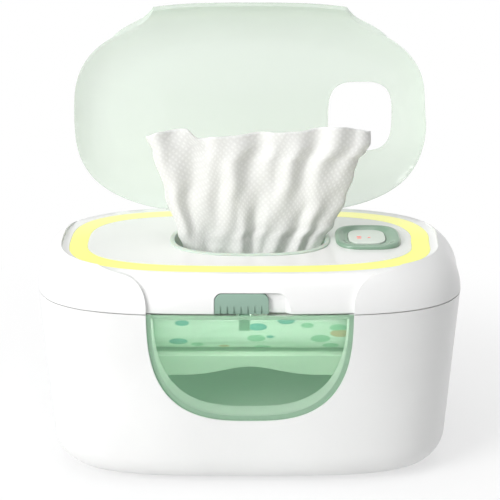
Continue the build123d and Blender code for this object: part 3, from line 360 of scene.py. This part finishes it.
# ---- Circuit boards and power inlet -------------------------------------------------
# Glass fibre boards for the power, the display and the lamps, and a black moulded inlet
# on the power board that takes a round plug.
# Solder mask: a smooth dark green lacquer with a faint mottle.
solder_mask = moulded("Green solder mask", "#1F6B3A", "#195A31", 0.3, 0.9, 0.02)
for board in ("power_board", "display_board", "led_board"):
    dress(board, solder_mask)
dress("dc_inlet", black_nylon)


# ---- Base cover, feet and screws ----------------------------------------------------
# A moulded cover closes the bottom, held by plated screws, and stands on four soft pads.
# The steel pins of the two hinges have the same plating as the screws.
# Matt ABS: plain white with no highlight, a little greyer than the satin one.
matt_abs = moulded("Matt white ABS", "#E6E6E5", "#DFDFDE", 0.6, 0.5, 0.05)
dress("base_cover", matt_abs)
# Silicone rubber: mid grey and quite dull.
foot_rubber = moulded("Grey silicone rubber", "#6E7070", "#626464", 0.75, 0.7, 0.05)
for number in range(1, 5):
    dress(f"rubber_foot_{number}", foot_rubber)
# Zinc plate: a bright bluish grey metal.
plated_steel = moulded(
    "Zinc plated steel", "#C3C5C8", "#B4B6BA", 0.3, 0.4, 0.01, Metallic=1.0
)
for part in ("base_screws", "liner_screws", "cover_hinge_pin", "lid_hinge_pins"):
    dress(part, plated_steel)


# ---- Top cover, liner and seal ------------------------------------------------------
# The cover is moulded in the same satin white as the body.  Under it a matt white liner
# closes the inside and carries a soft silicone seal.
dress("top_cover", white_abs)
dress("top_liner", matt_abs)
# Silicone: milky, soft to look at, with hardly any highlight.
seal_silicone = moulded("Translucent silicone", "#DDE3DE", "#D3DAD5", 0.55, 0.7, 0.03)
dress("seal_gasket", seal_silicone)


# ---- Glowing ring -------------------------------------------------------------------
# A light guide of milky acrylic, let into the cover and lit by lamps below it.
ring_front_y = -0.006  # where the glow begins to pale
ring_back_y = 0.054
# Lit acrylic: an even warm yellow glow, paler towards the back.
ring_glow = moulded(
    "Lit milky acrylic", "#BCBC66", "#B4B45E", 0.35, 0.8, 0.01, Specular_IOR_Level=0.25
)
tree = ring_glow.node_tree
surface = tree.nodes["Principled BSDF"]
place = tree.nodes["Texture Coordinate"]
parts = add_node(tree, "ShaderNodeSeparateXYZ", links={"Vector": (place, "Object")})
depth = add_node(
    tree,
    "ShaderNodeMapRange",
    {"From Min": ring_front_y, "From Max": ring_back_y},
    {"Value": (parts, "Y")},
)
glow = add_node(tree, "ShaderNodeValToRGB", links={"Fac": (depth, "Result")})
paint_ramp(glow, (0.0, "#FAFA8C"), (1.0, "#F4F1C4"))
tree.links.new(glow.outputs["Color"], surface.inputs["Emission Color"])
surface.inputs["Emission Strength"].default_value = 0.55
dress("light_ring", ring_glow)


# ---- Deck plate ---------------------------------------------------------------------
# A flat moulded plate that fills the ring and carries the collar and the bezel of the
# control button.
# Glossy ABS: the same white as the shell with a sharper shine.
deck_abs = moulded(
    "Glossy white ABS", "#F0F0EE", "#EBEBE9", 0.22, 0.8, 0.01, Coat_Weight=0.3
)
dress("deck_plate", deck_abs)


# ---- Dispensing collar --------------------------------------------------------------
# A rim with a funnel below it, set into the deck, through which the wipe is pulled, so
# that it stands ready in loose folds.
# Translucent plastic: pale green, and light sinks a little way into it.
collar_plastic = moulded(
    "Pale green collar plastic",
    "#CEDBCE",
    "#C2D1C3",
    0.32,
    0.8,
    0.02,
    Subsurface_Weight=0.15,
    Subsurface_Scale=0.004,
)
dress("dispensing_collar", collar_plastic)


# ---- Control bezel and button -------------------------------------------------------
# A glossy frame with a dished face round a pale push pad.  Three tiny red light pipes
# stand in the pad's face, most of them left of its middle.
light_pipes = ((-0.0045, -0.001, 0.0026), (-0.0045, -0.0035, 0.0026), (0.0012, -0.0022, 0.0016))
pipe_width = 0.0010
pipe_height = 0.0003
pipe_rounding = 0.00014
# Glossy sage plastic: a cool grey green with a bright line along its rim.
sage_gloss = moulded(
    "Sage green gloss plastic", "#86A48E", "#7E9D87", 0.2, 0.9, 0.01, Coat_Weight=0.4
)
dress("control_bezel", sage_gloss)
# Pad plastic: a pale greenish white with an even gloss.
pad_plastic = moulded("Pale pad plastic", "#DFE6DE", "#D9E1D8", 0.25, 0.9, 0.01)
dress("control_button", pad_plastic)
# Lit acrylic: a small even red glow.
red_glow = moulded("Lit red acrylic", "#D8483A", "#C63C30", 0.3, 0.9, 0.01)
red_light = red_glow.node_tree.nodes["Principled BSDF"]
red_light.inputs["Emission Color"].default_value = linear("#E8503C")
red_light.inputs["Emission Strength"].default_value = 0.5
low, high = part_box("control_button")
for number, (x, y, length) in enumerate(light_pipes, start=1):
    bpy.ops.object.select_all(action="DESELECT")
    spot = Vector(((low.x + high.x) / 2 + x, (low.y + high.y) / 2 + y, high.z))
    bpy.ops.mesh.primitive_cube_add(size=1, location=spot)
    light = bpy.context.object
    light.name = f"pad_light_{number}"
    light.scale = (length, pipe_width, pipe_height)
    bpy.ops.object.transform_apply(location=True, rotation=True, scale=True)
    rounding = light.modifiers.new("rounding", "BEVEL")
    rounding.width = pipe_rounding
    rounding.segments = 3
    bpy.ops.object.modifier_apply(modifier="rounding")
    light.data.materials.append(red_glow)
    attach(light, "button")


# ---- Latch slider -------------------------------------------------------------------
# A small moulded slider with finger grooves, which runs in a track in the front of the
# cover and locks it to the body.
# Satin sage plastic: the bezel's colour, paler and duller.
slider_plastic = moulded("Satin sage plastic", "#8DAA9A", "#86A393", 0.4, 0.6, 0.03)
dress("latch_slider", slider_plastic)


# ---- Flip lid -----------------------------------------------------------------------
# One thin curved moulding that turns on two short pins, with a hole over the button.
# Polished SAN: nearly clear when seen square on, green where the light runs along its
# walls.
lid_plastic = clear_plastic("Clear green SAN", "#E4F4E4", "#B9D6BC", 0.1, 0.36, 0.95)
dress("flip_lid", lid_plastic)


# ---- Wipe ---------------------------------------------------------------------------
# A folded sheet of white spunlace cloth pulled up through the collar.  It stands in soft
# upright folds, gathered at the collar and spread at its top, with a diamond embossing.
collar_low, collar_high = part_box("dispensing_collar")
throat_y = (collar_low.y + collar_high.y) / 2
# Heights are above the table, and places across the cloth are shares of its width.
columns = 260
rows = 70
foot_z = 0.1035
cloth_width = 0.13
cloth_height = 0.09
cloth_thickness = 0.0005
fold_rise = 0.088  # height over which the folds open out
side_share = 0.08  # share at each side over which the ripples die out
turn_share = 0.05  # share over which the two layers close up to their fold
curl_share = 0.1  # share at the right over which the top corner curls back
corner_curl = 0.004
forward_lean = 0.002  # of the crest
foot_depth = 0.3  # how much of the fold lines' depth the cloth takes, at foot and crest
crest_depth = 0.44
back_depth = 0.75  # the back layer's folds, as a share of the front one's
foot_gap = 0.0064  # between the two layers
crest_gap = 0.00388
front_gap_share = 0.3  # how much of the gap lies in front of the fold lines
back_crest_drop = 0.005  # how much lower the back layer's top edge is at its left end
diamond_mm = 2.5133
fibre_mm = 0.714
crest_line = [
    (0.0, 0.1882), (0.06, 0.1911), (0.17, 0.1923), (0.235, 0.1868), (0.32, 0.1885), (0.55, 0.1905),
    (0.68, 0.1912), (0.86, 0.1940), (0.95, 0.1915), (1.0, 0.1900),
]
left_line = [
    (0.1035, -0.0300), (0.1100, -0.0335), (0.1165, -0.0365), (0.1228, -0.0385), (0.1307, -0.0414),
    (0.1550, -0.0485), (0.1795, -0.0549), (0.1882, -0.0586), (0.1945, -0.0590),
]
right_line = [
    (0.1035, 0.0300), (0.1100, 0.0340), (0.1165, 0.0375), (0.1228, 0.0405), (0.1270, 0.0425),
    (0.1349, 0.0482), (0.1500, 0.0545), (0.1650, 0.0590), (0.1735, 0.0612), (0.1780, 0.0655),
    (0.1830, 0.0682), (0.1945, 0.0676),
]
# Each fold line is a place across the cloth and a depth, at the foot and at the crest.
folds = [
    ((0.00, 0.000), (0.00, 0.001)), ((0.07, -0.006), (0.05, -0.004)), ((0.14, -0.001), (0.15, 0.005)),
    ((0.25, -0.006), (0.24, 0.001)), ((0.42, -0.014), (0.37, -0.006)), ((0.52, -0.003), (0.49, 0.005)),
    ((0.60, -0.011), (0.56, 0.000)), ((0.66, -0.013), (0.65, -0.005)), ((0.74, -0.003), (0.77, 0.005)),
    ((0.82, -0.011), (0.84, -0.004)), ((0.90, -0.003), (0.93, 0.003)), ((1.00, 0.000), (1.00, 0.000)),
]


def along(points, place):
    """The height of a smooth line through the points, at a place between two of them."""
    for (low_place, low_value), (high_place, high_value) in zip(points, points[1:]):
        if place <= high_place:
            share = (place - low_place) / (high_place - low_place)
            share = (1 - cos(pi * max(0.0, share))) / 2
            return low_value + (high_value - low_value) * share
    return points[-1][1]


def ripple(size, across, up, phase, s, v):
    """The height of a slanting ripple with so many waves across and up the cloth."""
    return size * sin(2 * pi * (across * s + up * v) + phase)


def cloth_point(s, v, back):
    """A point at a share s of the width and v of the height, on the front or back layer."""
    crest = along(crest_line, s) - (back_crest_drop * (1 - s) ** 0.5 if back else 0.0)
    z = foot_z + (crest - foot_z) * v
    rise = min(1.0, (z - foot_z) / fold_rise)
    line = [
        (low_s + (high_s - low_s) * rise, low_y + (high_y - low_y) * rise)
        for (low_s, low_y), (high_s, high_y) in folds
    ]
    ends = min(1.0, min(s, 1 - s) / side_share)
    left, right = along(left_line, z), along(right_line, z)
    x = left + (right - left) * s + ends * ripple(0.0012, 2.6, 0.9, 0.0, s, v)
    fold = (foot_depth + (crest_depth - foot_depth) * rise) * along(line, s)
    fold += ends * ripple(0.0007, 7.3, -1.7, 1.1, s, v)
    fold += ends * (1 - v) * ripple(0.0009, 3.1, 2.1, 0.4, s, v)
    turn = min(1.0, max(0.0, (1 - s) / turn_share)) ** 0.5
    gap = (foot_gap + (crest_gap - foot_gap) * rise) * turn
    y = back_depth * fold + gap if back else fold - front_gap_share * gap
    curl = max(0.0, 1 - (1 - s) / curl_share) ** 2
    y += (corner_curl * curl - forward_lean) * rise
    return x, throat_y + y, z


# The cloth runs along its front layer to the fold at the right and back along the other.
vertices, faces, cloth_places = [], [], []
for row in range(rows + 1):
    v = row / rows
    for column in range(columns + 1):
        u = 2 * column / columns
        back = u > 1
        vertices.append(cloth_point(2 - u if back else u, v, back))
        cloth_places.append((u * cloth_width, v * cloth_height))
for row in range(rows):
    for column in range(columns):
        corner = row * (columns + 1) + column
        faces.append((corner, corner + 1, corner + columns + 2, corner + columns + 1))
cloth = bpy.data.meshes.new("standing_wipe")
cloth.from_pydata(vertices, [], faces)
layout = cloth.uv_layers.new(name="cloth")
for corner in cloth.loops:
    layout.data[corner.index].uv = cloth_places[corner.vertex_index]
wipe = bpy.data.objects.new("standing_wipe", cloth)
bpy.context.scene.collection.objects.link(wipe)
bpy.ops.object.select_all(action="DESELECT")
wipe.select_set(True)
bpy.context.view_layer.objects.active = wipe
bpy.ops.object.shade_smooth()
thickness = wipe.modifiers.new("thickness", "SOLIDIFY")
thickness.thickness = cloth_thickness
thickness.offset = 0.0

# Spunlace cloth: quite matt, a soft sheen at a slant, and light sinks a little way in.
# Its fibres are drawn many times coarser than real ones, which would be too fine to show.
spunlace = blank_material("Embossed spunlace cloth")
tree = spunlace.node_tree
wave_scale = 1000.0 * 2 * pi / (20 * diamond_mm)  # the texture has 20 / (2 pi) bands in 1
place = add_node(tree, "ShaderNodeUVMap", uv_map="cloth")
turned = add_node(
    tree, "ShaderNodeMapping", {"Rotation": (0.0, 0.0, radians(45))}, {"Vector": (place, "UV")}
)
one_way, other_way = [
    add_node(
        tree,
        "ShaderNodeTexWave",
        {"Scale": wave_scale, "Distortion": 0.4, "Detail": 1.0},
        {"Vector": (turned, "Vector")},
        bands_direction=direction,
    )
    for direction in "XY"
]
diamonds = add_node(
    tree,
    "ShaderNodeMath",
    links={0: (one_way, "Fac"), 1: (other_way, "Fac")},
    operation="MULTIPLY",
)
fibres = add_node(
    tree,
    "ShaderNodeTexNoise",
    {"Scale": 1000.0 / fibre_mm, "Detail": 4.0},
    {"Vector": (place, "UV")},
)
height = add_node(
    tree,
    "ShaderNodeMath",
    {1: 0.5},
    {0: (fibres, "Fac"), 2: (diamonds, "Value")},
    operation="MULTIPLY_ADD",
)
emboss = add_node(
    tree,
    "ShaderNodeBump",
    {"Strength": 0.4, "Distance": 0.0002},
    {"Height": (height, "Value")},
)
# The cloth's colour follows the emboss height: a little darker in the pressed hollows, a painted shade
# there, and faintly mottled by the fibres.
tone = add_node(tree, "ShaderNodeValToRGB", links={"Fac": (height, "Value")})
paint_ramp(tone, (0.0, "#E4E4E2"), (1.0, "#F0F0EE"))
surface = add_node(
    tree,
    "ShaderNodeBsdfPrincipled",
    {
        "Roughness": 0.9,
        "Sheen Weight": 0.25,
        "Sheen Roughness": 0.5,
        "Subsurface Weight": 0.12,
        "Subsurface Radius": (1.0, 1.0, 1.0),
        "Subsurface Scale": 0.002,
    },
    {"Base Color": (tone, "Color"), "Normal": (emboss, "Normal")},
)
add_node(tree, "ShaderNodeOutputMaterial", links={"Surface": (surface, "BSDF")})
cloth.materials.append(spunlace)
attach(wipe, "top")
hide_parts("wipe_sheet")
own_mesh(wipe)


# ---- Floor, light and camera --------------------------------------------------------
# A plain pale table that fades to white away from the warmer, a room that is brighter on
# the left, a large soft light from the left and a broad one from above.
table_width = 8
fade_start = 0.14  # distance from the middle of the table at which it begins to fade
fade_end = 0.36
near_white = 0.65  # how much of pure white the table has there
room_left = 0.52  # strength of the room's light from the left, and from the right
room_right = 0.22
aim = Vector((0, 0, 0.1))  # where the large lamps point


def seen_directly(tree):
    """One for what the camera sees straight or in a reflection, nought for soft light."""
    path = add_node(tree, "ShaderNodeLightPath")
    return add_node(
        tree,
        "ShaderNodeMath",
        links={0: (path, "Is Camera Ray"), 1: (path, "Is Glossy Ray")},
        operation="MAXIMUM",
    )


bpy.ops.object.select_all(action="DESELECT")
bpy.ops.mesh.primitive_plane_add(size=table_width, location=(0, 0, 0))
floor = bpy.context.object
floor.name = "floor"
# Pale laminate: no highlight, and it takes a soft shadow close to the feet.
table_white = blank_material("Pale table")
tree = table_white.node_tree
diffuse = add_node(
    tree, "ShaderNodeBsdfDiffuse", {"Color": linear("#F4F4F4"), "Roughness": 0.5}
)
white = add_node(tree, "ShaderNodeEmission", {"Color": (1.0, 1.0, 1.0, 1.0)})
place = add_node(tree, "ShaderNodeTexCoord")
far = add_node(tree, "ShaderNodeVectorMath", links={0: (place, "Object")}, operation="LENGTH")
fade = add_node(
    tree,
    "ShaderNodeMapRange",
    {"From Min": fade_start, "From Max": fade_end, "To Min": near_white, "To Max": 1.0},
    {"Value": (far, "Value")},
    interpolation_type="SMOOTHSTEP",
)
shown = add_node(
    tree,
    "ShaderNodeMath",
    links={0: (seen_directly(tree), "Value"), 1: (fade, "Result")},
    operation="MULTIPLY",
)
blend = add_node(
    tree,
    "ShaderNodeMixShader",
    links={0: (shown, "Value"), 1: (diffuse, "BSDF"), 2: (white, "Emission")},
)
add_node(tree, "ShaderNodeOutputMaterial", links={"Surface": (blend, "Shader")})
floor.data.materials.append(table_white)

world = bpy.data.worlds.new("studio")
bpy.context.scene.world = world
world.use_nodes = True
tree = world.node_tree
tree.nodes.clear()
way = add_node(tree, "ShaderNodeTexCoord")
sides = add_node(tree, "ShaderNodeSeparateXYZ", links={"Vector": (way, "Generated")})
dimmer = add_node(
    tree,
    "ShaderNodeMapRange",
    {"From Min": -0.8, "From Max": 0.8, "To Min": room_left, "To Max": room_right},
    {"Value": (sides, "X")},
)
room = add_node(
    tree,
    "ShaderNodeBackground",
    {"Color": linear("#F4F5F6")},
    {"Strength": (dimmer, "Result")},
)
backdrop = add_node(tree, "ShaderNodeBackground", {"Color": (1, 1, 1, 1), "Strength": 1.0})
choice = add_node(
    tree,
    "ShaderNodeMixShader",
    links={
        0: (seen_directly(tree), "Value"),
        1: (room, "Background"),
        2: (backdrop, "Background"),
    },
)
add_node(tree, "ShaderNodeOutputWorld", links={"Surface": (choice, "Shader")})

for name, place, size, power in (
    ("left softbox", (-1.3, -1.2, 0.9), 0.9, 26.0),
    ("top softbox", (0.0, -0.1, 1.6), 1.2, 10.0),
):
    lamp = bpy.data.lights.new(name, "AREA")
    lamp.size = size
    lamp.energy = power
    softbox = bpy.data.objects.new(name, lamp)
    softbox.location = place
    softbox.rotation_euler = (aim - Vector(place)).to_track_quat("-Z", "Y").to_euler()
    bpy.context.scene.collection.objects.link(softbox)

# A faint strip of light behind the window's top edge shows the pack and the tray.
strip_in_front = 0.063  # of the collar's middle
strip_z = 0.1035
strip_tilt = radians(-20)
strip_length = 0.10
strip_width = 0.006
strip_power = 0.034
tub_light = bpy.data.lights.new("tub light", "AREA")
tub_light.shape = "RECTANGLE"
tub_light.size = strip_length
tub_light.size_y = strip_width
tub_light.energy = strip_power
tub_fill = bpy.data.objects.new("tub light", tub_light)
tub_fill.location = (0.0, throat_y - strip_in_front, strip_z)
tub_fill.rotation_euler = (strip_tilt, 0.0, 0.0)
tub_fill.visible_camera = False
bpy.context.scene.collection.objects.link(tub_fill)

camera_in_front = 0.8543  # of the collar's middle
camera_z = 0.4094
camera_tilt = radians(71.27)
lens_mm = 112.38
camera_data = bpy.data.cameras.new("camera")
camera_data.lens = lens_mm
camera_data.sensor_width = 36.0
camera = bpy.data.objects.new("camera", camera_data)
camera.location = (0.0, throat_y - camera_in_front, camera_z)
camera.rotation_euler = (camera_tilt, 0.0, 0.0)
bpy.context.scene.collection.objects.link(camera)
bpy.context.scene.camera = camera
bpy.context.scene.view_settings.view_transform = "Standard"
